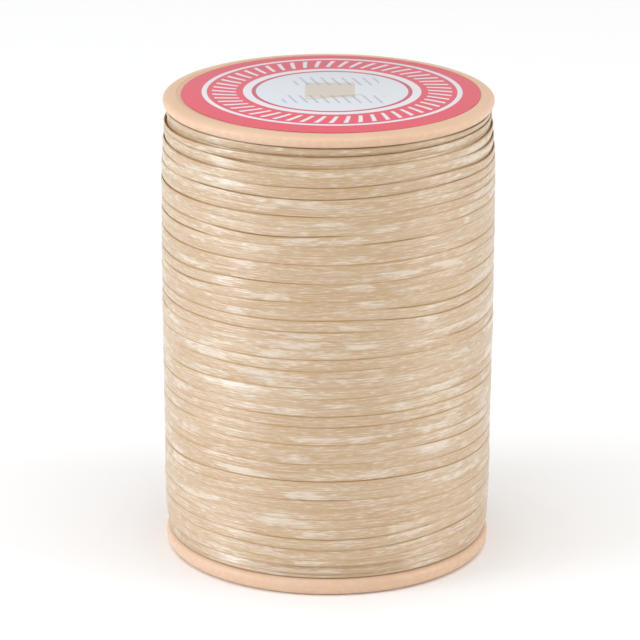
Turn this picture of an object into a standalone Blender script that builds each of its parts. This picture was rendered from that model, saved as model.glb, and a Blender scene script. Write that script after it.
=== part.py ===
"""Waxed thread spool for leather work.

A hollow barrel carries two end flanges, each plugged into it by a short spigot.
Flat waxed thread fills the space between the flanges, and a round paper label
covers the upper end. The spool stands on +Z with its axis on the Z axis, and the
origin is the centre of the ring it stands on. Lengths are in metres.
"""

from math import asin, cos, pi, radians, sin, tau

import bmesh
import bpy
from mathutils import Matrix, Vector

MM = 0.001

# Overall sizes
SPOOL_HEIGHT = 56.0 * MM
FLANGE_RADIUS = 19.55 * MM
SEAT_GAP = 0.3 * MM  # clearance between pieces that rest on or plug into each other

# End flanges
TOP_FLANGE_THICKNESS = 1.5 * MM
FOOT_FLANGE_THICKNESS = 2.15 * MM
TOP_EDGE_WIDTH = 1.6 * MM  # rounding of the upper flange's outer face, along the radius
TOP_EDGE_DROP = 0.6 * MM  # and along the axis
FOOT_EDGE_WIDTH = 0.95 * MM
FOOT_EDGE_DROP = 1.35 * MM
INNER_EDGE_WIDTH = 0.7 * MM  # rounding towards the thread, on both flanges

# Barrel, and the spigot that plugs into each of its ends
BARREL_RADIUS = 12.2 * MM
BARREL_WALL = 1.2 * MM
SPIGOT_WALL = 1.3 * MM
SPIGOT_DEPTH = 6.0 * MM
SPIGOT_LEAD_IN = 0.5 * MM

# Hub that runs on the spindle of a thread stand
BORE_RADIUS = 3.6 * MM
HUB_WALL = 1.2 * MM
HUB_DEPTH = 8.0 * MM
BORE_CHAMFER = 0.4 * MM

# Underside of the lower flange
FOOT_RING_WIDTH = 1.65 * MM
FOOT_RING_HEIGHT = 0.25 * MM
POCKET_DEPTH = 0.7 * MM
POCKET_MARGIN = 0.6 * MM  # land left between the pockets and the foot ring
BOSS_WIDTH = 2.2 * MM
RIB_COUNT = 8
RIB_WIDTH = 1.0 * MM

# Label
LABEL_THICKNESS = 0.2 * MM
LABEL_MARGIN = 0.1 * MM  # flat land left between the label's seat and the rounded edge

# Winding
WINDING_OVERFILL = 0.24 * MM  # how far the fullest turns stand out past the flanges
WINDING_TAPER = 0.16 * MM  # how much slimmer the winding is at its lower end
UPPER_SHOULDER_WIDTH = 0.68 * MM  # fall of the last turns below the upper flange
UPPER_SHOULDER_LENGTH = 5.0 * MM
LOWER_SHOULDER_WIDTH = 0.72 * MM
LOWER_SHOULDER_LENGTH = 3.6 * MM

# Fineness of the round shapes
SEGMENTS = 64
ARC_STEPS = 5
CUT_OVERSHOOT = 1.0 * MM

WINDING_FLOOR = FOOT_FLANGE_THICKNESS + SEAT_GAP
WINDING_CEILING = SPOOL_HEIGHT - TOP_FLANGE_THICKNESS - SEAT_GAP
LABEL_SEAT_RADIUS = FLANGE_RADIUS - TOP_EDGE_WIDTH - LABEL_MARGIN
LABEL_SEAT_DEPTH = LABEL_THICKNESS + SEAT_GAP
FOOT_RING_INNER = FLANGE_RADIUS - FOOT_EDGE_WIDTH - FOOT_RING_WIDTH


def clear_scene():
    for old in list(bpy.data.objects):
        bpy.data.objects.remove(old, do_unlink=True)


def plastic_or_fibre(name, colour, roughness):
    """A Principled material with one colour and one roughness."""
    material = bpy.data.materials.new(name)
    material.use_nodes = True
    shader = material.node_tree.nodes["Principled BSDF"]
    shader.inputs["Base Color"].default_value = (*colour, 1.0)
    shader.inputs["Roughness"].default_value = roughness
    shader.inputs["Metallic"].default_value = 0.0
    return material


def quarter_arc(start, end, leaves_flat):
    """Points of a quarter ellipse from start to end, without the start point.

    It leaves the start along the radius if leaves_flat is true, else along the axis.
    """
    points = []
    for step in range(1, ARC_STEPS + 1):
        angle = 0.5 * pi * step / ARC_STEPS
        along, across = sin(angle), 1.0 - cos(angle)
        if not leaves_flat:
            along, across = across, along
        radius = start[0] + (end[0] - start[0]) * along
        height = start[1] + (end[1] - start[1]) * across
        points.append((radius, height))
    return points


def link(name, mesh, material, parent, location=(0.0, 0.0, 0.0), rotation=(0.0, 0.0, 0.0)):
    """A new object in the scene, with its place under the parent."""
    mesh.materials.append(material)
    piece = bpy.data.objects.new(name, mesh)
    bpy.context.scene.collection.objects.link(piece)
    piece.parent = parent
    piece.location = location
    piece.rotation_euler = rotation
    return piece


def turned_mesh(name, outline):
    """A solid of revolution about Z. The outline is a closed loop of (radius, height)."""
    shape = bmesh.new()
    corners = [shape.verts.new((radius, 0.0, height)) for radius, height in outline]
    for index, corner in enumerate(corners):
        shape.edges.new((corners[index - 1], corner))
    bmesh.ops.spin(
        shape,
        geom=shape.verts[:] + shape.edges[:],
        cent=(0.0, 0.0, 0.0),
        axis=(0.0, 0.0, 1.0),
        angle=tau,
        steps=SEGMENTS,
        use_merge=True,
    )
    bmesh.ops.remove_doubles(shape, verts=shape.verts[:], dist=0.001 * MM)
    bmesh.ops.recalc_face_normals(shape, faces=shape.faces[:])
    mesh = bpy.data.meshes.new(name)
    shape.to_mesh(mesh)
    shape.free()
    mesh.shade_smooth()
    mesh.set_sharp_from_angle(angle=radians(30.0))
    return mesh


def flange_outline(thickness, face_radius, face_depth, edge_width, edge_drop):
    """Half section of a flange, as (radius, distance in from its outer face)."""
    bore = BORE_RADIUS
    hub = BORE_RADIUS + HUB_WALL
    spigot_outer = BARREL_RADIUS - BARREL_WALL - SEAT_GAP
    spigot_inner = spigot_outer - SPIGOT_WALL
    spigot_end = thickness + SPIGOT_DEPTH
    widest = (FLANGE_RADIUS, edge_drop)
    outline = [
        (bore, face_depth + BORE_CHAMFER),
        (bore + BORE_CHAMFER, face_depth),
        (face_radius, face_depth),
        (face_radius, 0.0),
        (FLANGE_RADIUS - edge_width, 0.0),
    ]
    outline += quarter_arc(outline[-1], widest, leaves_flat=True)
    outline += quarter_arc(widest, (FLANGE_RADIUS - INNER_EDGE_WIDTH, thickness), leaves_flat=False)
    outline += [
        (spigot_outer, thickness),
        (spigot_outer, spigot_end - SPIGOT_LEAD_IN),
        (spigot_outer - SPIGOT_LEAD_IN, spigot_end),
        (spigot_inner, spigot_end),
        (spigot_inner, thickness),
        (hub, thickness),
        (hub, thickness + HUB_DEPTH),
        (bore, thickness + HUB_DEPTH),
    ]
    return outline


def pocket_cutter(parent, material):
    """Shallow pockets of the underside, which leave the ribs standing between them."""
    inner = BORE_RADIUS + BOSS_WIDTH
    outer = FOOT_RING_INNER - POCKET_MARGIN
    shape = bmesh.new()
    for rib in range(RIB_COUNT):
        start, end = tau * rib / RIB_COUNT, tau * (rib + 1) / RIB_COUNT
        corners = []
        for radius, turn in ((inner, 1), (outer, -1)):
            edge = asin(0.5 * RIB_WIDTH / radius)
            angles = [
                start + edge + (end - start - 2.0 * edge) * step / ARC_STEPS
                for step in range(ARC_STEPS + 1)
            ]
            for angle in angles[::turn]:
                corners.append((radius * cos(angle), radius * sin(angle), -CUT_OVERSHOOT))
        face = shape.faces.new([shape.verts.new(corner) for corner in corners])
        lifted = bmesh.ops.extrude_face_region(shape, geom=[face])["geom"]
        top = [item for item in lifted if isinstance(item, bmesh.types.BMVert)]
        bmesh.ops.translate(shape, verts=top, vec=(0.0, 0.0, CUT_OVERSHOOT + POCKET_DEPTH))
    bmesh.ops.recalc_face_normals(shape, faces=shape.faces[:])
    mesh = bpy.data.meshes.new("pocket_cutter")
    shape.to_mesh(mesh)
    shape.free()
    cutter = link("pocket_cutter", mesh, material, parent)
    cutter.hide_render = True
    cutter.display_type = "WIRE"
    return cutter


def build_foot_flange(parent, material):
    """Lower flange: it stands on its outer ring, with ribbed pockets inside the ring."""
    outline = flange_outline(
        FOOT_FLANGE_THICKNESS, FOOT_RING_INNER, FOOT_RING_HEIGHT, FOOT_EDGE_WIDTH, FOOT_EDGE_DROP
    )
    flange = link("bottom_flange", turned_mesh("bottom_flange", outline), material, parent)
    cut = flange.modifiers.new("pockets", "BOOLEAN")
    cut.operation = "DIFFERENCE"
    cut.solver = "EXACT"
    cut.object = pocket_cutter(parent, material)


def build_top_flange(parent, material):
    """Upper flange: the same section upside down, with a flat seat for the label."""
    outline = flange_outline(
        TOP_FLANGE_THICKNESS, LABEL_SEAT_RADIUS, LABEL_SEAT_DEPTH, TOP_EDGE_WIDTH, TOP_EDGE_DROP
    )
    mesh = turned_mesh("top_flange", outline)
    link("top_flange", mesh, material, parent, (0.0, 0.0, SPOOL_HEIGHT), (pi, 0.0, 0.0))


def build_barrel(parent, material):
    """Tube that the thread is wound on. Its ends butt against the two flanges."""
    length = WINDING_CEILING - WINDING_FLOOR
    inner = BARREL_RADIUS - BARREL_WALL
    outline = [(inner, 0.0), (BARREL_RADIUS, 0.0), (BARREL_RADIUS, length), (inner, length)]
    mesh = turned_mesh("spool_barrel", outline)
    link("spool_barrel", mesh, material, parent, (0.0, 0.0, WINDING_FLOOR))


def build_winding(parent, material):
    """The whole winding as one ring, fullest near the top and falling away at each flange."""
    length = WINDING_CEILING - WINDING_FLOOR
    inner = BARREL_RADIUS + SEAT_GAP
    full = FLANGE_RADIUS + WINDING_OVERFILL
    slim = full - WINDING_TAPER
    lower = (slim - LOWER_SHOULDER_WIDTH, 0.0)
    lower_full = (slim, LOWER_SHOULDER_LENGTH)
    upper_full = (full, length - UPPER_SHOULDER_LENGTH)
    upper = (full - UPPER_SHOULDER_WIDTH, length)
    outline = [(inner, 0.0), lower]
    outline += quarter_arc(lower, lower_full, leaves_flat=True)
    outline += [upper_full]
    outline += quarter_arc(upper_full, upper, leaves_flat=False)
    outline += [(inner, length)]
    mesh = turned_mesh("thread_winding", outline)
    link("thread_winding", mesh, material, parent, (0.0, 0.0, WINDING_FLOOR))


def build_label(parent, material):
    """Round paper label, flush with the upper flange's outer face."""
    radius = LABEL_SEAT_RADIUS - SEAT_GAP
    shape = bmesh.new()
    bmesh.ops.create_cone(
        shape,
        cap_ends=True,
        cap_tris=True,
        segments=SEGMENTS,
        radius1=radius,
        radius2=radius,
        depth=LABEL_THICKNESS,
        matrix=Matrix.Translation(Vector((0.0, 0.0, -0.5 * LABEL_THICKNESS))),
    )
    mesh = bpy.data.meshes.new("top_label")
    shape.to_mesh(mesh)
    shape.free()
    link("top_label", mesh, material, parent, (0.0, 0.0, SPOOL_HEIGHT))


def build_spool():
    clear_scene()
    spool_plastic = plastic_or_fibre("spool_plastic", (0.84, 0.61, 0.43), 0.5)
    waxed_thread = plastic_or_fibre("waxed_thread", (0.72, 0.53, 0.34), 0.45)
    label_paper = plastic_or_fibre("label_paper", (0.80, 0.13, 0.18), 0.55)
    axis = bpy.data.objects.new("spool_axis", None)
    bpy.context.scene.collection.objects.link(axis)
    build_foot_flange(axis, spool_plastic)
    build_barrel(axis, spool_plastic)
    build_top_flange(axis, spool_plastic)
    build_winding(axis, waxed_thread)
    build_label(axis, label_paper)


build_spool()
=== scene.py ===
# %% [markdown]
# # A spool of flat waxed thread
#
# Leather workers sew with a flat polyester thread that is soaked in wax. It is sold on a
# light plastic spool: a hollow barrel, two end flanges that plug into it, and a round
# printed label on the upper end. The parts of the spool come from a CAD model, loaded
# here as a fixed frame. This lesson dresses that frame. The thread becomes real ribbons
# that lie turn beside turn, the plastic gets its soft rounded rims, and the paper gets
# its print. Every length is in metres, so a helper value called MM keeps them readable.

from math import cos, exp, pi, radians, sin, sqrt, tau

import bmesh
import bpy
import numpy as np
from mathutils import Matrix, Quaternion, Vector


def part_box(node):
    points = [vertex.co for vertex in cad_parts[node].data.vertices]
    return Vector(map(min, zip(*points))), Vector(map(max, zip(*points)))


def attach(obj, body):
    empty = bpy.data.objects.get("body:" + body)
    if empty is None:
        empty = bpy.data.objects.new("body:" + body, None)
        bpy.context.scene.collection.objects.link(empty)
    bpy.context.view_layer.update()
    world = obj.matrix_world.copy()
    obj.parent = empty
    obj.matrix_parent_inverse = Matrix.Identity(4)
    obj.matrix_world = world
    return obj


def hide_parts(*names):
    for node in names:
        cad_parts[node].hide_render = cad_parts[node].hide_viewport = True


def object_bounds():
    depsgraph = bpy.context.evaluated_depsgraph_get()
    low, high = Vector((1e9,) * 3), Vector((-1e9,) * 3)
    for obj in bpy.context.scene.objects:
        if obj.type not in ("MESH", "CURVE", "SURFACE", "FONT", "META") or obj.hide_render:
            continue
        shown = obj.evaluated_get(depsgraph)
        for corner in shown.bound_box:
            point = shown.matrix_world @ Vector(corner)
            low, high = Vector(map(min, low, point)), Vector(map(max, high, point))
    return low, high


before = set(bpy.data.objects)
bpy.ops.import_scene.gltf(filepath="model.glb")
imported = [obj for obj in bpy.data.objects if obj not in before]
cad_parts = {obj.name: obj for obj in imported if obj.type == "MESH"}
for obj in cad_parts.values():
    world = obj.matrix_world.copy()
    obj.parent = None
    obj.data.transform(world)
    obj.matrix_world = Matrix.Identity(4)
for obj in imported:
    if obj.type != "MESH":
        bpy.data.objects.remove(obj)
cad_low, cad_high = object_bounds()
MM = 0.001
print("CAD nodes:", sorted(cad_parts))
print("CAD box in mm:", [round(side / MM, 2) for side in cad_high - cad_low])

# %% [markdown]
# ## Reading the sizes
#
# A dressed piece must sit exactly where its CAD piece sits, so its sizes are read from the
# frame and not typed in again. The box of a node gives its lowest and its highest corner.
# Half the width of a round node is its radius.

# %% Main sizes of the spool
SEAT_GAP = 0.3 * MM  # air that the CAD model keeps between two pieces


def radius_of(node):
    """Outer radius of a round CAD node that stands on the Z axis."""
    low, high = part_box(node)
    return 0.5 * (high.x - low.x)


spool_top = cad_high.z
flange_radius = radius_of("bottom_flange")
winding_radius = radius_of("thread_winding")
barrel_radius = radius_of("spool_barrel")
label_radius = radius_of("top_label")
winding_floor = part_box("thread_winding")[0].z
winding_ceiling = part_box("thread_winding")[1].z
print("flange radius", round(flange_radius / MM, 2), "mm, height", round(spool_top / MM, 2), "mm")
print("winding from", round(winding_floor / MM, 2), "to", round(winding_ceiling / MM, 2), "mm")

# %% [markdown]
# ## The camera
#
# A long lens far away keeps the two flanges almost the same width, as a product
# photographer would. The camera looks down at 18 degrees, so that the upper face shows as
# a flat ellipse. It aims a hair to the left of the axis, which moves the spool a little to
# the right of the middle.

# %% Place the camera
CAMERA_DISTANCE = 456.1 * MM
CAMERA_ELEVATION = radians(18.27)
CAMERA_LENS = 213.75
AIM_LEFT = 0.93 * MM
AIM_LOW = 0.19 * MM
CAMERA_ROLL = radians(0.18)

spool_middle = Vector((0.0, 0.0, 0.5 * spool_top))
camera_data = bpy.data.cameras.new("product_camera")
camera_data.lens = CAMERA_LENS
camera_data.sensor_width = 36.0
camera_data.clip_start = 0.01
camera_data.clip_end = 20.0
camera = bpy.data.objects.new("product_camera", camera_data)
bpy.context.scene.collection.objects.link(camera)
camera_direction = Vector((0.0, -cos(CAMERA_ELEVATION), sin(CAMERA_ELEVATION)))
camera.location = spool_middle + CAMERA_DISTANCE * camera_direction
aim = spool_middle - Vector((AIM_LEFT, 0.0, AIM_LOW))
looking = (aim - camera.location).to_track_quat("-Z", "Y")
camera.rotation_euler = (looking @ Quaternion((0.0, 0.0, 1.0), CAMERA_ROLL)).to_euler()
bpy.context.scene.camera = camera
print("camera at", [round(part, 3) for part in camera.location], "with a", CAMERA_LENS, "mm lens")

# %% [markdown]
# ## The studio
#
# Two tall soft boxes stand at the sides and a wide one hangs above. The sides give the two
# soft bands of gloss on the wax, and the one above makes each lapped turn throw a thin line
# of shade on the turn below. The left box is the strongest and a little cooler than the
# others. A pale floor and a bright sky close the room. The Standard view transform keeps the
# whites white, as on a shop page.

# %% Helper: nodes and links in one call


def add_node(tree, kind, inputs=None, **settings):
    """A new shader node. A socket given as an input is linked, any other value is typed in."""
    made = tree.nodes.new(kind)
    for name, value in settings.items():
        setattr(made, name, value)
    for name, value in (inputs or {}).items():
        if isinstance(value, bpy.types.NodeSocket):
            tree.links.new(value, made.inputs[name])
        else:
            made.inputs[name].default_value = value
    return made


# %% Sky, soft boxes and floor
WHITE = (1.0, 1.0, 1.0)
COOL_WHITE = (0.96, 1.0, 1.08)
BOX_DISTANCE = 1.1
SOFT_BOXES = (
    # name, azimuth and elevation in degrees, width and height in metres, power in watts, colour
    ("left_soft_box", -70.0, 6.0, (0.5, 0.8), 9.3, COOL_WHITE),
    ("right_soft_box", 74.0, 6.0, (0.45, 0.8), 5.6, WHITE),
    ("top_soft_box", 0.0, 82.0, (1.1, 0.9), 6.1, WHITE),
)
SKY_STRENGTH = 0.56
FLOOR_SIZE = 6.0
FLOOR_GREY = 0.97


def soft_box(name, azimuth, elevation, size, power, colour):
    """A rectangular lamp that faces the spool. Azimuth 0 is the camera's side."""
    lamp_data = bpy.data.lights.new(name, "AREA")
    lamp_data.shape = "RECTANGLE"
    lamp_data.size, lamp_data.size_y = size
    lamp_data.energy = power
    lamp_data.color = colour
    lamp = bpy.data.objects.new(name, lamp_data)
    bpy.context.scene.collection.objects.link(lamp)
    across, up = radians(azimuth), radians(elevation)
    way = Vector((sin(across) * cos(up), -cos(across) * cos(up), sin(up)))
    lamp.location = spool_middle + BOX_DISTANCE * way
    lamp.rotation_euler = (-way).to_track_quat("-Z", "Y").to_euler()
    print(name, "at azimuth", azimuth, "elevation", elevation, "power", power)


def build_studio():
    for box in SOFT_BOXES:
        soft_box(*box)
    world = bpy.data.worlds.new("studio_sky")
    world.use_nodes = True
    sky = world.node_tree.nodes["Background"]
    sky.inputs["Color"].default_value = (1.0, 1.0, 1.0, 1.0)
    sky.inputs["Strength"].default_value = SKY_STRENGTH
    bpy.context.scene.world = world
    bpy.context.scene.view_settings.view_transform = "Standard"
    bpy.context.scene.view_settings.look = "None"


build_studio()

# %% The floor
floor_shape = bmesh.new()
bmesh.ops.create_grid(floor_shape, x_segments=1, y_segments=1, size=0.5 * FLOOR_SIZE)
floor_mesh = bpy.data.meshes.new("studio_floor")
floor_shape.to_mesh(floor_mesh)
floor_shape.free()
floor = bpy.data.objects.new("studio_floor", floor_mesh)
bpy.context.scene.collection.objects.link(floor)
floor_paint = bpy.data.materials.new("pale_floor")
floor_paint.use_nodes = True
floor_shader = floor_paint.node_tree.nodes["Principled BSDF"]
floor_shader.inputs["Base Color"].default_value = (FLOOR_GREY, FLOOR_GREY, FLOOR_GREY, 1.0)
floor_shader.inputs["Roughness"].default_value = 0.9
floor_mesh.materials.append(floor_paint)
print("floor", FLOOR_SIZE, "m wide")

# %% [markdown]
# ## The plastic
#
# The spool is moulded in a peach coloured plastic with a satin skin. A little light enters
# it, so it glows where it is thin and its shadows turn orange. Moulded plastic is never
# quite even: the colour drifts in large soft clouds, the skin has a fine grain, and the
# rims that rub against other spools are paler and smoother. Noise on Object coordinates
# gives all three, because it runs through the piece without any seam.

# %% Helpers for materials


def new_material(name):
    """An empty node material, with its shader and its tree."""
    material = bpy.data.materials.new(name)
    material.use_nodes = True
    return material, material.node_tree, material.node_tree.nodes["Principled BSDF"]


def math(tree, operation, *values):
    """One Math node, as an output socket."""
    return add_node(tree, "ShaderNodeMath", dict(enumerate(values)), operation=operation).outputs[0]


def blend(tree, factor, below, above, mode="MIX"):
    """Two colours mixed by a factor, as an output socket."""
    mix = add_node(tree, "ShaderNodeMix", {0: factor}, data_type="RGBA", blend_type=mode)
    for socket, colour in ((6, below), (7, above)):
        if isinstance(colour, bpy.types.NodeSocket):
            tree.links.new(colour, mix.inputs[socket])
        else:
            mix.inputs[socket].default_value = (*colour, 1.0)
    return mix.outputs[2]


def spread(tree, value, low, high, to_low=0.0, to_high=1.0):
    """A value moved from one range to another with soft ends, as an output socket."""
    inputs = {0: value, 1: low, 2: high, 3: to_low, 4: to_high}
    return add_node(tree, "ShaderNodeMapRange", inputs, interpolation_type="SMOOTHSTEP").outputs[0]


def inside(tree, value, low, high, soft):
    """1 where a value lies between two limits and 0 elsewhere, with soft edges."""
    rise = spread(tree, value, low - soft, low + soft)
    fall = spread(tree, value, high - soft, high + soft, 1.0, 0.0)
    return math(tree, "MULTIPLY", rise, fall)


def cloud(tree, vector, scale, detail=2.0, roughness=0.5):
    """Noise between about 0.3 and 0.7, as an output socket."""
    inputs = {"Vector": vector, "Scale": scale, "Detail": detail, "Roughness": roughness}
    return add_node(tree, "ShaderNodeTexNoise", inputs).outputs[0]


def radius_and_place(tree, centre=(0.0, 0.0)):
    """Distance from a vertical line, and the two sides of it, from Object coordinates."""
    place = add_node(tree, "ShaderNodeTexCoord").outputs["Object"]
    shifted = add_node(
        tree, "ShaderNodeMapping", {"Vector": place, "Location": (-centre[0], -centre[1], 0.0)}
    )
    axes = add_node(tree, "ShaderNodeSeparateXYZ", {0: shifted.outputs[0]})
    x, y = axes.outputs[0], axes.outputs[1]
    squared = math(tree, "ADD", math(tree, "MULTIPLY", x, x), math(tree, "MULTIPLY", y, y))
    return math(tree, "SQRT", squared), x, y, place


# %% Satin peach plastic
PEACH = (0.72, 0.495, 0.34)
PEACH_DEEP = (0.69, 0.43, 0.265)
PEACH_WORN = (0.78, 0.58, 0.43)


def peach_plastic():
    material, tree, shader = new_material("satin_peach_plastic")
    radius, _, _, place = radius_and_place(tree)
    drift = spread(tree, cloud(tree, place, 76.0, 3.0), 0.35, 0.65)
    flow = spread(tree, cloud(tree, place, 580.0, 4.0, 0.6), 0.3, 0.7)
    body = blend(tree, math(tree, "MULTIPLY", drift, 0.30), PEACH, PEACH_DEEP)
    body = blend(tree, math(tree, "MULTIPLY", flow, 0.10), body, PEACH_WORN)
    rim = spread(tree, radius, flange_radius - 0.6 * MM, flange_radius)
    rubbed = math(tree, "MULTIPLY", rim, spread(tree, cloud(tree, place, 1250.0, 3.0), 0.45, 0.62))
    body = blend(tree, math(tree, "MULTIPLY", rubbed, 0.35), body, PEACH_WORN)
    tree.links.new(body, shader.inputs["Base Color"])
    satin = spread(tree, flow, 0.0, 1.0, 0.40, 0.50)
    satin = math(tree, "SUBTRACT", satin, math(tree, "MULTIPLY", rubbed, 0.08))
    tree.links.new(satin, shader.inputs["Roughness"])
    skin = cloud(tree, place, 3600.0, 3.0, 0.6)
    bump = add_node(tree, "ShaderNodeBump", {"Height": skin, "Strength": 0.12, "Distance": 0.015 * MM})
    tree.links.new(bump.outputs[0], shader.inputs["Normal"])
    shader.inputs["Subsurface Weight"].default_value = 0.25
    shader.inputs["Subsurface Radius"].default_value = (1.0, 0.45, 0.25)
    shader.inputs["Subsurface Scale"].default_value = 0.9 * MM
    shader.inputs["Specular IOR Level"].default_value = 0.35
    return material


spool_plastic = peach_plastic()
print("material", spool_plastic.name, "with", len(spool_plastic.node_tree.nodes), "nodes")

# %% [markdown]
# ## The flanges
#
# A flange is a turned shape: one half section swept round the axis. The spin operator does
# that from a chain of points. Its rims are quarter ellipses, wide and shallow on the face
# that carries the label, and narrow and deep on the face that stands on the bench. The
# spigot, which plugs into the barrel, and the hub, which runs on the spindle of a thread
# stand, belong to the same moulding. The fine edges are broken with the bevel operator.

# %% Sizes of a flange
TURN_STEPS = 192
ARC_STEPS = 12
BORE_RADIUS = 3.6 * MM
BORE_CHAMFER = 0.4 * MM
HUB_WALL = 1.2 * MM
HUB_DEPTH = 8.0 * MM
BARREL_WALL = 1.2 * MM
SPIGOT_WALL = 1.3 * MM
SPIGOT_DEPTH = 6.0 * MM
SPIGOT_LEAD_IN = 0.5 * MM
INNER_EDGE_WIDTH = 0.7 * MM
EDGE_BREAK = 0.07 * MM


def quarter_arc(start, end, leaves_flat):
    """Points of a quarter ellipse from start to end, without the start point."""
    points = []
    for step in range(1, ARC_STEPS + 1):
        angle = 0.5 * pi * step / ARC_STEPS
        along, across = sin(angle), 1.0 - cos(angle)
        if not leaves_flat:
            along, across = across, along
        radius = start[0] + (end[0] - start[0]) * along
        height = start[1] + (end[1] - start[1]) * across
        points.append((radius, height))
    return points


def flange_section(thickness, face_radius, face_depth, edge_width, edge_drop):
    """Half section of a flange, as (radius, distance in from its outer face)."""
    spigot_outer = barrel_radius - BARREL_WALL - SEAT_GAP
    spigot_inner = spigot_outer - SPIGOT_WALL
    spigot_end = thickness + SPIGOT_DEPTH
    hub = BORE_RADIUS + HUB_WALL
    widest = (flange_radius, edge_drop)
    section = [
        (BORE_RADIUS, face_depth + BORE_CHAMFER),
        (BORE_RADIUS + BORE_CHAMFER, face_depth),
        (face_radius, face_depth),
        (face_radius, 0.0),
        (flange_radius - edge_width, 0.0),
    ]
    section += quarter_arc(section[-1], widest, leaves_flat=True)
    section += quarter_arc(widest, (flange_radius - INNER_EDGE_WIDTH, thickness), leaves_flat=False)
    section += [
        (spigot_outer, thickness),
        (spigot_outer, spigot_end - SPIGOT_LEAD_IN),
        (spigot_outer - SPIGOT_LEAD_IN, spigot_end),
        (spigot_inner, spigot_end),
        (spigot_inner, thickness),
        (hub, thickness),
        (hub, thickness + HUB_DEPTH),
        (BORE_RADIUS, thickness + HUB_DEPTH),
    ]
    return section


def turned(section):
    """A bmesh of revolution about Z from a closed half section."""
    shape = bmesh.new()
    corners = [shape.verts.new((radius, 0.0, height)) for radius, height in section]
    for index, corner in enumerate(corners):
        shape.edges.new((corners[index - 1], corner))
    bmesh.ops.spin(
        shape, geom=shape.verts[:] + shape.edges[:], cent=(0.0, 0.0, 0.0), axis=(0.0, 0.0, 1.0),
        angle=tau, steps=TURN_STEPS, use_merge=True,
    )
    bmesh.ops.remove_doubles(shape, verts=shape.verts[:], dist=0.0005 * MM)
    bmesh.ops.recalc_face_normals(shape, faces=shape.faces[:])
    return shape


def break_edges(shape, width, least_angle=radians(38.0)):
    """Every sharp edge of the shape gets a small round."""
    sharp = [edge for edge in shape.edges if edge.is_manifold and edge.calc_face_angle() > least_angle]
    bmesh.ops.bevel(
        shape, geom=sharp, offset=width, offset_type="OFFSET", segments=2, profile=0.5,
        affect="EDGES", clamp_overlap=True, material=-1,
    )
    return len(sharp)


def finished(shape, name, material, node):
    """The bmesh as an object in its place, riding with the spool and standing for its CAD node."""
    mesh = bpy.data.meshes.new(name)
    shape.to_mesh(mesh)
    shape.free()
    mesh.shade_smooth()
    mesh.set_sharp_from_angle(angle=radians(30.0))
    mesh.materials.append(material)
    piece = bpy.data.objects.new(name, mesh)
    bpy.context.scene.collection.objects.link(piece)
    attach(piece, "root")
    if node:
        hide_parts(node)
    mesh.calc_loop_triangles()
    print(name, "has", len(mesh.loop_triangles), "triangles")
    return piece


# %% The upper flange
TOP_THICKNESS = spool_top - winding_ceiling - SEAT_GAP
TOP_EDGE_WIDTH = 1.52 * MM
TOP_EDGE_DROP = 0.6 * MM
LABEL_SEAT_DEPTH = 0.10 * MM
LABEL_SEAT_RADIUS = label_radius + 0.42 * MM

top_shape = turned(
    flange_section(TOP_THICKNESS, LABEL_SEAT_RADIUS, LABEL_SEAT_DEPTH, TOP_EDGE_WIDTH, TOP_EDGE_DROP)
)
face_up = Matrix.Rotation(pi, 3, "X")
bmesh.ops.rotate(top_shape, verts=top_shape.verts[:], cent=(0.0, 0.0, 0.0), matrix=face_up)
bmesh.ops.translate(top_shape, verts=top_shape.verts[:], vec=(0.0, 0.0, spool_top))
break_edges(top_shape, 0.3 * EDGE_BREAK)
finished(top_shape, "upper_flange", spool_plastic, "top_flange")

# %% [markdown]
# ## The underside
#
# The lower flange stands on a narrow ring. Inside the ring the moulder takes plastic away
# in eight shallow pockets, which leaves ribs like the spokes of a wheel: the wall stays
# even, so the flange cools flat. A rib has parallel sides, so each side is a straight cut
# with a plane through the flat ring of faces. The faces between two ribs are then dissolved
# into one, and pushed in.

# %% The lower flange with its ribs
FOOT_THICKNESS = winding_floor - SEAT_GAP
FOOT_EDGE_WIDTH = 0.95 * MM
FOOT_EDGE_DROP = 1.35 * MM
FOOT_RING_WIDTH = 1.65 * MM
FOOT_RING_HEIGHT = 0.25 * MM
POCKET_DEPTH = 0.45 * MM
POCKET_MARGIN = 0.6 * MM
BOSS_WIDTH = 2.2 * MM
RIB_COUNT = 8
RIB_WIDTH = 1.0 * MM
foot_ring_inner = flange_radius - FOOT_EDGE_WIDTH - FOOT_RING_WIDTH
pocket_inner = BORE_RADIUS + BOSS_WIDTH
pocket_outer = foot_ring_inner - POCKET_MARGIN


def foot_section():
    """The flange section, with two more points where the pockets begin and end."""
    section = flange_section(
        FOOT_THICKNESS, foot_ring_inner, FOOT_RING_HEIGHT, FOOT_EDGE_WIDTH, FOOT_EDGE_DROP
    )
    section[2:2] = [(pocket_inner, FOOT_RING_HEIGHT), (pocket_outer, FOOT_RING_HEIGHT)]
    return section


def pocket_faces(shape):
    """The faces of the flat ring between the boss and the land, on the underside."""
    found = []
    for face in shape.faces:
        middle = face.calc_center_median()
        radius = sqrt(middle.x**2 + middle.y**2)
        flat = abs(middle.z - FOOT_RING_HEIGHT) < 0.01 * MM
        if flat and pocket_inner < radius < pocket_outer:
            found.append(face)
    return found


def cut_rib_sides(shape):
    """Two parallel cuts for each pair of opposite ribs."""
    for rib in range(RIB_COUNT // 2):
        angle = tau * rib / RIB_COUNT
        across = Vector((-sin(angle), cos(angle), 0.0))
        for side in (-0.5, 0.5):
            faces = pocket_faces(shape)
            edges = list({edge for face in faces for edge in face.edges})
            corners = list({corner for face in faces for corner in face.verts})
            bmesh.ops.bisect_plane(
                shape, geom=faces + edges + corners, dist=0.001 * MM,
                plane_co=side * RIB_WIDTH * across, plane_no=across,
            )


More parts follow.
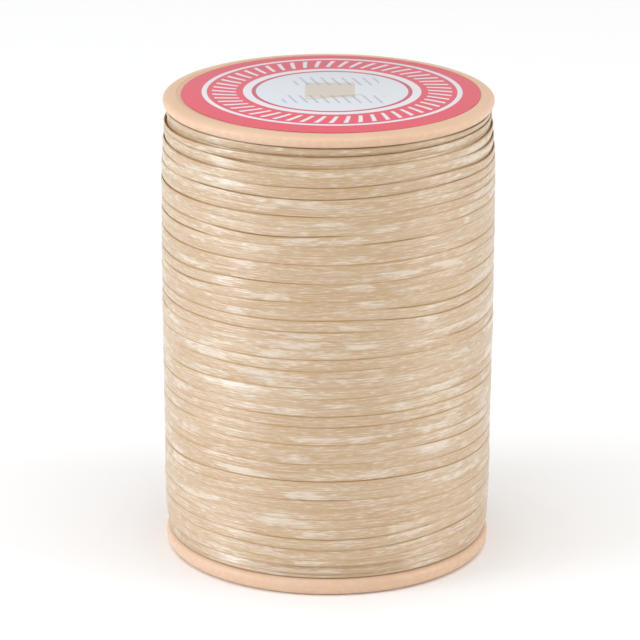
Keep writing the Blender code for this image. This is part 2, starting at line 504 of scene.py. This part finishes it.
def sink_pockets(shape):
    """Dissolves the faces between two ribs into one, and pushes it in."""
    for pocket in range(RIB_COUNT):
        angle = tau * (pocket + 0.5) / RIB_COUNT
        spoke = Vector((cos(angle), sin(angle), 0.0))
        low_side = Vector((-sin(angle - pi / RIB_COUNT), cos(angle - pi / RIB_COUNT), 0.0))
        high_side = Vector((-sin(angle + pi / RIB_COUNT), cos(angle + pi / RIB_COUNT), 0.0))
        group = []
        for face in pocket_faces(shape):
            middle = face.calc_center_median()
            past_low = middle.dot(low_side) > 0.5 * RIB_WIDTH
            before_high = middle.dot(high_side) < -0.5 * RIB_WIDTH
            if past_low and before_high and middle.dot(spoke) > 0.0:
                group.append(face)
        whole = bmesh.ops.dissolve_faces(shape, faces=group, use_verts=False)["region"]
        pushed = bmesh.ops.extrude_face_region(shape, geom=whole)["geom"]
        floor_corners = [item for item in pushed if isinstance(item, bmesh.types.BMVert)]
        bmesh.ops.translate(shape, verts=floor_corners, vec=(0.0, 0.0, POCKET_DEPTH))
        bmesh.ops.delete(shape, geom=whole, context="FACES_ONLY")


foot_shape = turned(foot_section())
cut_rib_sides(foot_shape)
sink_pockets(foot_shape)
bmesh.ops.recalc_face_normals(foot_shape, faces=foot_shape.faces[:])
broken = break_edges(foot_shape, EDGE_BREAK)
print("edges broken:", broken)
finished(foot_shape, "lower_flange", spool_plastic, "bottom_flange")

# %% [markdown]
# ## The barrel
#
# The barrel is hidden under the thread and shows only inside the bore. Its CAD shape is
# already right, so it stays and only takes the plastic.

# %% Dress the barrel
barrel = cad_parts["spool_barrel"]
barrel.data.materials.clear()
barrel.data.materials.append(spool_plastic)
print("barrel keeps its CAD mesh, radius", round(barrel_radius / MM, 2), "mm")

# %% [markdown]
# ## Waxed thread, the finish
#
# The thread is a flat ribbon of long fibres glued together with wax. Each ribbon carries
# fine streaks that run along it, short dashes where a fibre surfaces, and whitish patches,
# partly wax that is thick or has been rubbed and partly a painted sheen: a highlight put into
# the colour. Its two edges carry painted shade, a golden brown that fades in and out and stands
# in for the shade between turns. All of these follow the ribbon, so the material reads the
# ribbon's own UV map: U runs along the thread and V goes round it, first across the face and
# then across the back.

# %% The waxed thread material
THREAD_BODY = (0.542, 0.377, 0.214)
THREAD_DEEP = (0.490, 0.306, 0.140)
# Whitish wax colour; on the patches it is partly real wax and partly a painted sheen.
THREAD_WAX_AND_SHEEN = (0.76, 0.67, 0.56)
# Painted shade: a golden brown for the ribbon's edges, standing in for the shade between turns.
THREAD_EDGE_SHADE = (0.49, 0.300, 0.110)
THREAD_MAP = "along_thread"
STRANDS = 4
STRAND_POINTS = 4
BACK_POINTS = 4
ROUND_POINTS = STRANDS * STRAND_POINTS + 1 + BACK_POINTS
FACE_FROM = 1.7 / ROUND_POINTS  # where the face begins and ends on the UV map
FACE_TO = (STRANDS * STRAND_POINTS - 1.4) / ROUND_POINTS
FACE_SOFT = 1.5 / ROUND_POINTS
WAX_SETTINGS = {
    "Specular IOR Level": 1.0,
    "Coat Weight": 1.0,
    "Coat Roughness": 0.42,
    "Subsurface Weight": 0.12,
    "Subsurface Radius": (1.0, 0.6, 0.35),
    "Subsurface Scale": 0.25 * MM,
}


def waxed_thread_material(name, length):
    """The finish of a ribbon of the given length in metres."""
    material, tree, shader = new_material(name)
    run = add_node(tree, "ShaderNodeUVMap", uv_map=THREAD_MAP).outputs[0]

    def along(step, rounds):
        """The UV map scaled to a step in millimetres along the thread, and to rounds across it."""
        scale = (length / (step * MM), rounds, 1.0)
        return add_node(tree, "ShaderNodeMapping", {"Vector": run, "Scale": scale}).outputs[0]

    fibre = cloud(tree, along(6.0, 15.0), 1.0, 2.0, 0.6)
    dash = cloud(tree, along(1.3, 12.0), 1.0, 1.0, 0.5)
    tone = cloud(tree, along(27.0, 0.5), 1.0, 2.0, 0.5)
    patch = cloud(tree, along(6.5, 1.0), 1.0, 2.0, 0.5)
    colour = blend(tree, spread(tree, tone, 0.35, 0.65), THREAD_BODY, THREAD_DEEP)
    colour = blend(tree, spread(tree, fibre, 0.50, 0.34, 0.0, 0.65), colour, THREAD_DEEP)
    colour = blend(tree, spread(tree, fibre, 0.50, 0.66, 0.0, 0.45), colour, THREAD_WAX_AND_SHEEN)
    colour = blend(tree, spread(tree, dash, 0.50, 0.34, 0.0, 0.45), colour, THREAD_DEEP)
    colour = blend(tree, spread(tree, dash, 0.54, 0.68, 0.0, 0.38), colour, THREAD_WAX_AND_SHEEN)
    # The whitish patches: partly thick or rubbed wax, partly a painted sheen put into the colour.
    broken = math(tree, "ADD", patch, math(tree, "MULTIPLY", dash, 0.35))
    wax_and_sheen = spread(tree, broken, 0.68, 0.88)
    colour = blend(tree, math(tree, "MULTIPLY", wax_and_sheen, 0.60), colour, THREAD_WAX_AND_SHEEN)
    rounds = add_node(tree, "ShaderNodeSeparateXYZ", {0: run}).outputs[1]
    # Painted shade: the edges of the face turn golden brown, fading in and out, for the shade between turns.
    edge = math(tree, "SUBTRACT", 1.0, inside(tree, rounds, FACE_FROM, FACE_TO, FACE_SOFT))
    edge_shade_fading = spread(tree, cloud(tree, along(9.0, 0.3), 1.0, 1.0), 0.38, 0.60, 0.25, 1.0)
    colour = blend(tree, math(tree, "MULTIPLY", edge, edge_shade_fading), colour, THREAD_EDGE_SHADE)
    tree.links.new(colour, shader.inputs["Base Color"])
    gloss = spread(tree, broken, 0.55, 0.85, 0.50, 0.38)
    tree.links.new(gloss, shader.inputs["Roughness"])
    height = math(tree, "ADD", math(tree, "MULTIPLY", fibre, 0.4), dash)
    bump = add_node(tree, "ShaderNodeBump", {"Height": height, "Strength": 0.6, "Distance": 0.07 * MM})
    tree.links.new(bump.outputs[0], shader.inputs["Normal"])
    for socket, value in WAX_SETTINGS.items():
        shader.inputs[socket].default_value = value
    return material


# %% [markdown]
# ## Winding the thread
#
# The winder guides the thread up and down the spool, so each layer is one long helix. The
# last layer climbs from the lower flange to the upper one, and each turn laps a little over
# the turn below. The lapped edge stands proud and shades the turn under it, which draws the
# fine dark lines of a full spool. No guide is perfect: the spacing wanders, so some turns
# lie side by side and others ride up on their neighbour. The tension wanders too, and where
# a turn is pressed flat its line almost fades away.
#
# A curve is the right tool. Its points follow the helix, a flat section is swept along it,
# and the tilt of each point rolls the ribbon as it climbs on its neighbour.

# %% Sizes of the thread
RIBBON_WIDTH = 1.36 * MM
RIBBON_THICKNESS = 0.12 * MM
STRAND_CREST = 0.025 * MM  # how far each strand swells out of the ribbon's face
CROWN = 0.08 * MM  # how much the ribbon bulges in its middle
TURN_PITCH = 1.15 * MM
LEAST_PITCH, MOST_PITCH = 0.62 * MM, 1.36 * MM  # nearest and farthest that two turns may lie
LAP_TO_LIFT = 0.25 * MM  # a turn that laps this much has its lower edge fully lifted
LAP_TO_CLIMB, LAP_CLIMBING = 0.86 * MM, 0.43 * MM  # from here on the upper edge lifts as well
POINTS_PER_TURN = 96
THREAD_REACH = 0.28 * MM  # how far the ribbons reach beyond the CAD winding, up to the flanges
WINDING_TAPER = 0.16 * MM  # how much slimmer the winding is in its lower third
TAPER_FROM, TAPER_TO = 9.3 * MM, 28.7 * MM
UPPER_FALL, UPPER_FALL_LENGTH = 0.87 * MM, 2.9 * MM  # the last turns sink towards the upper flange
LOWER_FALL, LOWER_FALL_LENGTH = 0.95 * MM, 1.3 * MM  # and the first ones towards the lower flange


def envelope(height):
    """Outer radius of the winding at a height: it falls away towards each flange."""
    share = min(1.0, max(0.0, (height - winding_floor - TAPER_FROM) / (TAPER_TO - TAPER_FROM)))
    slimmer = WINDING_TAPER * (1.0 - share * share * (3.0 - 2.0 * share))
    above = UPPER_FALL * exp((height - winding_ceiling) / UPPER_FALL_LENGTH)
    below = LOWER_FALL * exp((winding_floor - height) / LOWER_FALL_LENGTH)
    return winding_radius - slimmer - above - below


def slope_roll(heights):
    """The roll that lays each ribbon along the slope of the winding."""
    step = 0.1 * MM
    fall = [envelope(height - step) - envelope(height + step) for height in heights]
    return np.arctan(np.array(fall) / (2.0 * step))


print("winding radius at mid height", round(envelope(spool_middle.z) / MM, 2), "mm")

# %% Helpers for the ribbon


def ribbon_section(name):
    """The flat section of the thread as a closed curve: X points outwards, Y along the spool."""
    half = 0.5 * RIBBON_WIDTH
    steps = STRAND_POINTS * STRANDS
    points = []
    for step in range(steps + 1):
        across = -1.0 + 2.0 * step / steps
        swell = STRAND_CREST * abs(sin(pi * STRANDS * 0.5 * (across + 1.0)))
        bulge = CROWN * (1.0 - across**2)
        taper = sqrt(max(0.0, 1.0 - across**6))
        outwards = 0.5 * RIBBON_THICKNESS * taper + bulge + swell
        points.append((outwards, half * across))
    points.append((-0.2 * RIBBON_THICKNESS, half * 0.98))
    points.append((-0.5 * RIBBON_THICKNESS, half * 0.85))
    points.append((-0.5 * RIBBON_THICKNESS, -half * 0.85))
    points.append((-0.2 * RIBBON_THICKNESS, -half * 0.98))
    curve = bpy.data.curves.new(name, "CURVE")
    curve.dimensions = "2D"
    spline = curve.splines.new("POLY")
    spline.points.add(len(points) - 1)
    for point, (outwards, along) in zip(spline.points, points):
        point.co = (outwards, along, 0.0, 1.0)
    spline.use_cyclic_u = True
    return bpy.data.objects.new(name, curve)


def wander(count, spacing, amount, chance):
    """Smooth random drift: a new random value every few points, eased from one to the next."""
    knots = chance.normal(0.0, amount, count // spacing + 2)
    place = np.arange(count) / spacing
    whole = place.astype(int)
    part = place - whole
    ease = part * part * (3.0 - 2.0 * part)
    return knots[whole] * (1.0 - ease) + knots[whole + 1] * ease


def smooth_step(value):
    """0 below 0, 1 above 1, and a smooth rise between them."""
    value = np.clip(value, 0.0, 1.0)
    return value * value * (3.0 - 2.0 * value)


def helix_heights(turns, chance, unrest):
    """Height of the thread's middle at each point, with one turn lying flat at each end."""
    count = int((turns + 2.0) * POINTS_PER_TURN)
    climb = np.clip(np.arange(count) / POINTS_PER_TURN - 1.0, 0.0, turns) / turns
    low = winding_floor - THREAD_REACH + 0.5 * RIBBON_WIDTH
    high = winding_ceiling + THREAD_REACH - 0.5 * RIBBON_WIDTH
    heights = low + (high - low) * climb
    drift = wander(count, 37, 0.7 * unrest, chance) + wander(count, 13, unrest, chance)
    fade = smooth_step(climb * turns / 1.5) * smooth_step((1.0 - climb) * turns / 1.5)
    heights = heights + drift * fade
    for index in range(POINTS_PER_TURN, count):
        before = heights[index - POINTS_PER_TURN]
        least = before + LEAST_PITCH * fade[index]
        heights[index] = min(max(heights[index], least), before + MOST_PITCH, high)
    return np.convolve(np.pad(heights, 2, mode="edge"), np.full(5, 0.2), mode="valid")


def lap_lifts(heights, chance):
    """How far the lower and the upper edge of each turn ride up on the turn below."""
    lower = np.zeros(len(heights))
    upper = np.zeros(len(heights))
    loose = smooth_step(0.55 + wander(len(heights), 26, 0.45, chance))
    for index in range(POINTS_PER_TURN, len(heights)):
        before = index - POINTS_PER_TURN
        pitch = heights[index] - heights[before]
        lap = RIBBON_WIDTH - pitch
        rest = (0.15 + 0.50 * loose[index]) * RIBBON_THICKNESS + 0.4 * upper[before]
        lower[index] = rest * smooth_step(lap / LAP_TO_LIFT)
        upper[index] = rest * smooth_step((lap - LAP_TO_CLIMB) / LAP_CLIMBING)
    return lower, upper


def wind_ribbon(name, heights, depth, lower, upper, roll, turn_way, width_noise):
    """Sweeps the thread's section along its helix and returns the closed mesh in a bmesh."""
    section = ribbon_section(name + "_section")
    curve = bpy.data.curves.new(name, "CURVE")
    curve.dimensions = "3D"
    curve.twist_mode = "Z_UP"
    curve.bevel_mode = "OBJECT"
    curve.bevel_object = section
    curve.use_fill_caps = True
    spline = curve.splines.new("POLY")
    spline.points.add(len(heights) - 1)
    for index, point in enumerate(spline.points):
        angle = turn_way * tau * index / POINTS_PER_TURN + 0.5 * pi
        lift = 0.5 * (lower[index] + upper[index])
        radius = envelope(heights[index]) - depth - 0.5 * RIBBON_THICKNESS + lift
        point.co = (radius * cos(angle), radius * sin(angle), heights[index], 1.0)
        point.tilt = roll[index]
        point.radius = width_noise[index]
    holder = bpy.data.objects.new(name, curve)
    bpy.context.scene.collection.objects.link(holder)
    bpy.context.view_layer.update()
    graph = bpy.context.evaluated_depsgraph_get()
    swept = bpy.data.meshes.new_from_object(
        holder.evaluated_get(graph), preserve_all_data_layers=True, depsgraph=graph
    )
    swept.uv_layers[0].name = THREAD_MAP
    shape = bmesh.new()
    shape.from_mesh(swept)
    bmesh.ops.remove_doubles(shape, verts=shape.verts[:], dist=0.001 * MM)
    bmesh.ops.recalc_face_normals(shape, faces=shape.faces[:])
    bpy.data.objects.remove(holder)
    bpy.data.objects.remove(section)
    bpy.data.meshes.remove(swept)
    return shape


# %% The outer layer
WIND_SEED = 11
UNREST = 0.20 * MM
OUTER_DEPTH = 0.08 * MM
chance = np.random.default_rng(WIND_SEED)
climb_length = winding_ceiling - winding_floor + 2.0 * THREAD_REACH - RIBBON_WIDTH
outer_turns = climb_length / TURN_PITCH
outer_heights = helix_heights(outer_turns, chance, UNREST)
count = len(outer_heights)
lower_lift, upper_lift = lap_lifts(outer_heights, chance)
lap_roll = np.arcsin(np.clip((lower_lift - upper_lift) / RIBBON_WIDTH, -0.4, 0.4))
loose_roll = wander(count, 14, radians(2.0), chance) + slope_roll(outer_heights)
outer_width = 1.0 + wander(count, 18, 0.035, chance)
outer_shape = wind_ribbon(
    "outer_turns", outer_heights, OUTER_DEPTH, lower_lift, upper_lift, lap_roll + loose_roll, 1.0, outer_width
)
outer_length = tau * winding_radius * count / POINTS_PER_TURN
outer_thread = waxed_thread_material("waxed_thread_outer", outer_length)
finished(outer_shape, "outer_turns", outer_thread, "thread_winding")
spacing = outer_heights[POINTS_PER_TURN:] - outer_heights[:-POINTS_PER_TURN]
print("turns", round(outer_turns, 1))
print("spacing", round(spacing.mean() / MM, 2), "+-", round(spacing.std() / MM, 2), "mm")

# %% The layer beneath, which shows through the gaps
LAYER_STEP = 0.17 * MM
UNDER_PITCH = 1.06 * TURN_PITCH
under_heights = helix_heights(climb_length / UNDER_PITCH, chance, 0.5 * UNREST)
under_flat = np.zeros(len(under_heights))
under_roll = wander(len(under_heights), 15, radians(1.5), chance) + slope_roll(under_heights)
under_shape = wind_ribbon(
    "under_turns", under_heights, LAYER_STEP, under_flat, under_flat, under_roll, -1.0, 1.0 + under_flat
)
under_length = tau * winding_radius * len(under_heights) / POINTS_PER_TURN
under_thread = waxed_thread_material("waxed_thread_under", under_length)
finished(under_shape, "under_turns", under_thread, None)

# %% [markdown]
# ## The layers below
#
# Under those two layers lie some twenty more that nobody sees. One turned ring stands for
# them, from just outside the barrel to just under the ribbons.

# %% The inner winding
CORE_RINGS = 24
CORE_CLEARANCE = 0.04 * MM


def core_section():
    """Half section of the hidden layers, following the same envelope."""
    bottom, top = winding_floor - THREAD_REACH, winding_ceiling + THREAD_REACH
    section = [(barrel_radius + SEAT_GAP, top), (barrel_radius + SEAT_GAP, bottom)]
    for ring in range(CORE_RINGS + 1):
        height = bottom + (top - bottom) * ring / CORE_RINGS
        section.append((envelope(height) - 2.0 * LAYER_STEP - CORE_CLEARANCE, height))
    return section


def core_material():
    """Deep thread colour in fine level bands, mixed with the painted golden edge shade."""
    material, tree, shader = new_material("waxed_thread_core")
    place = add_node(tree, "ShaderNodeTexCoord").outputs["Object"]
    bands = add_node(tree, "ShaderNodeMapping", {"Vector": place, "Scale": (55.0, 55.0, 3600.0)})
    grain = cloud(tree, bands.outputs[0], 1.0, 3.0)
    # Painted shade: the bands mix in the golden brown of the painted edge shade.
    colour = blend(tree, spread(tree, grain, 0.35, 0.65), THREAD_DEEP, THREAD_EDGE_SHADE)
    tree.links.new(colour, shader.inputs["Base Color"])
    tree.links.new(spread(tree, grain, 0.3, 0.7, 0.6, 0.5), shader.inputs["Roughness"])
    bump = add_node(tree, "ShaderNodeBump", {"Height": grain, "Strength": 0.6, "Distance": 0.1 * MM})
    tree.links.new(bump.outputs[0], shader.inputs["Normal"])
    return material


finished(turned(core_section()), "inner_turns", core_material(), None)

# %% [markdown]
# ## The label
#
# The label is a disc of thin paper, printed in one strong red with white rings. A real label
# carries the maker's words. This one has a plain ring of sewing stitches in their place. In
# the middle it has two rows of slanted dashes, and a little swatch with a loose thread end.
# Print is colour and not shape, so it belongs in the material: the distance from the middle
# gives the rings, and the angle gives the stitches.

# %% The paper disc
LABEL_OFFSET = 0.26 * MM  # the label is glued a little to one side
PAPER_THICKNESS = 0.09 * MM
PAPER_EDGE = 0.02 * MM
PAPER_RADIUS = label_radius + 0.08 * MM

label_shape = bmesh.new()
bmesh.ops.create_circle(
    label_shape, cap_ends=True, cap_tris=False, segments=TURN_STEPS, radius=PAPER_RADIUS
)
sheet_top = bmesh.ops.extrude_face_region(label_shape, geom=label_shape.faces[:])["geom"]
lifted = [item for item in sheet_top if isinstance(item, bmesh.types.BMVert)]
bmesh.ops.translate(label_shape, verts=lifted, vec=(0.0, 0.0, PAPER_THICKNESS))
bmesh.ops.recalc_face_normals(label_shape, faces=label_shape.faces[:])
break_edges(label_shape, PAPER_EDGE)
label_place = (LABEL_OFFSET, 0.0, spool_top - PAPER_THICKNESS)
bmesh.ops.translate(label_shape, verts=label_shape.verts[:], vec=label_place)

# %% The print
INK_RED = (0.715, 0.083, 0.120)
INK_LINE = (0.55, 0.09, 0.125)
PAPER_WHITE = (0.76, 0.74, 0.77)
PAPER_COOL = (0.69, 0.72, 0.765)
SWATCH = (0.62, 0.56, 0.48)
INK_GREY = (0.27, 0.28, 0.33)
STITCH_COUNT = 52
STITCH_SLANT = 0.06
PRINT_OFFSET = (0.15 * MM, 0.72 * MM)  # the print is not quite in the middle of the paper
PRINT_RADIUS = label_radius + 0.045 * MM
PRINT_SOFT = 0.0025
OUTER_RING = (0.840, 0.874)  # the rings and the stitches, as shares of the print's radius
STITCH_RING = (0.645, 0.805)
INNER_RING = (0.539, 0.598)
LINE_RING = (0.511, 0.539)
SWATCH_WIDTH = (-3.2 * MM, 2.7 * MM)
SWATCH_LENGTH = (-2.9 * MM, 4.0 * MM)
DASH_STEP = 1.25 * MM
DASH_ROWS = (
    # left, right, front and back, in millimetres
    (-4.6, 5.6, 2.7, 6.3),
    (-5.9, 6.2, -5.4, -1.9),
)


def label_print():
    """The printed paper: red, white rings and stitches, and a pale middle."""
    material, tree, shader = new_material("printed_label")
    radius, x, y, place = radius_and_place(tree, (LABEL_OFFSET + PRINT_OFFSET[0], PRINT_OFFSET[1]))
    share = math(tree, "DIVIDE", radius, PRINT_RADIUS)
    outer_ring = inside(tree, share, *OUTER_RING, PRINT_SOFT)
    inner_ring = inside(tree, share, *INNER_RING, PRINT_SOFT)
    line_ring = inside(tree, share, *LINE_RING, PRINT_SOFT)
    middle = spread(tree, share, LINE_RING[0] - PRINT_SOFT, LINE_RING[0] + PRINT_SOFT, 1.0, 0.0)
    turn = math(tree, "DIVIDE", math(tree, "ARCTAN2", y, x), tau)
    turn = math(tree, "ADD", turn, math(tree, "MULTIPLY", share, STITCH_SLANT))
    beat = math(tree, "FRACT", math(tree, "MULTIPLY", turn, float(STITCH_COUNT)))
    stitch_ring = inside(tree, share, *STITCH_RING, PRINT_SOFT)
    stitches = math(tree, "MULTIPLY", inside(tree, beat, 0.26, 0.58, 0.05), stitch_ring)
    colour = blend(tree, outer_ring, INK_RED, PAPER_WHITE)
    colour = blend(tree, stitches, colour, PAPER_WHITE)
    colour = blend(tree, inner_ring, colour, PAPER_WHITE)
    colour = blend(tree, line_ring, colour, INK_LINE)
    colour = blend(tree, middle, colour, PAPER_COOL)
    swatch_x = inside(tree, x, *SWATCH_WIDTH, 0.05 * MM)
    swatch_y = inside(tree, y, *SWATCH_LENGTH, 0.05 * MM)
    colour = blend(tree, math(tree, "MULTIPLY", swatch_x, swatch_y), colour, SWATCH)
    for left, right, front, back in DASH_ROWS:
        lean = math(tree, "ADD", x, math(tree, "MULTIPLY", y, 0.3))
        beat = math(tree, "FRACT", math(tree, "DIVIDE", lean, DASH_STEP))
        stroke = inside(tree, beat, 0.3, 0.56, 0.06)
        row = inside(tree, y, front * MM, back * MM, 0.06 * MM)
        reach = inside(tree, x, left * MM, right * MM, 0.06 * MM)
        marks = math(tree, "MULTIPLY", stroke, math(tree, "MULTIPLY", row, reach))
        colour = blend(tree, math(tree, "MULTIPLY", marks, 0.5), colour, INK_GREY)
    sway = math(tree, "MULTIPLY", math(tree, "SINE", math(tree, "MULTIPLY", x, 700.0)), 0.35 * MM)
    end_line = math(tree, "SUBTRACT", math(tree, "SUBTRACT", y, math(tree, "MULTIPLY", x, 0.22)), sway)
    loose_end = inside(tree, end_line, -2.75 * MM, -2.45 * MM, 0.06 * MM)
    loose_end = math(tree, "MULTIPLY", loose_end, inside(tree, x, -3.2 * MM, 3.6 * MM, 0.1 * MM))
    colour = blend(tree, math(tree, "MULTIPLY", loose_end, 0.7), colour, THREAD_DEEP)
    fibres = cloud(tree, place, 3300.0, 4.0, 0.65)
    colour = blend(tree, spread(tree, fibres, 0.3, 0.7, 0.0, 0.08), colour, PAPER_WHITE)
    tree.links.new(colour, shader.inputs["Base Color"])
    tree.links.new(spread(tree, fibres, 0.3, 0.7, 0.34, 0.46), shader.inputs["Roughness"])
    bump = add_node(tree, "ShaderNodeBump", {"Height": fibres, "Strength": 0.15, "Distance": 0.015 * MM})
    tree.links.new(bump.outputs[0], shader.inputs["Normal"])
    return material


finished(label_shape, "printed_label", label_print(), "top_label")
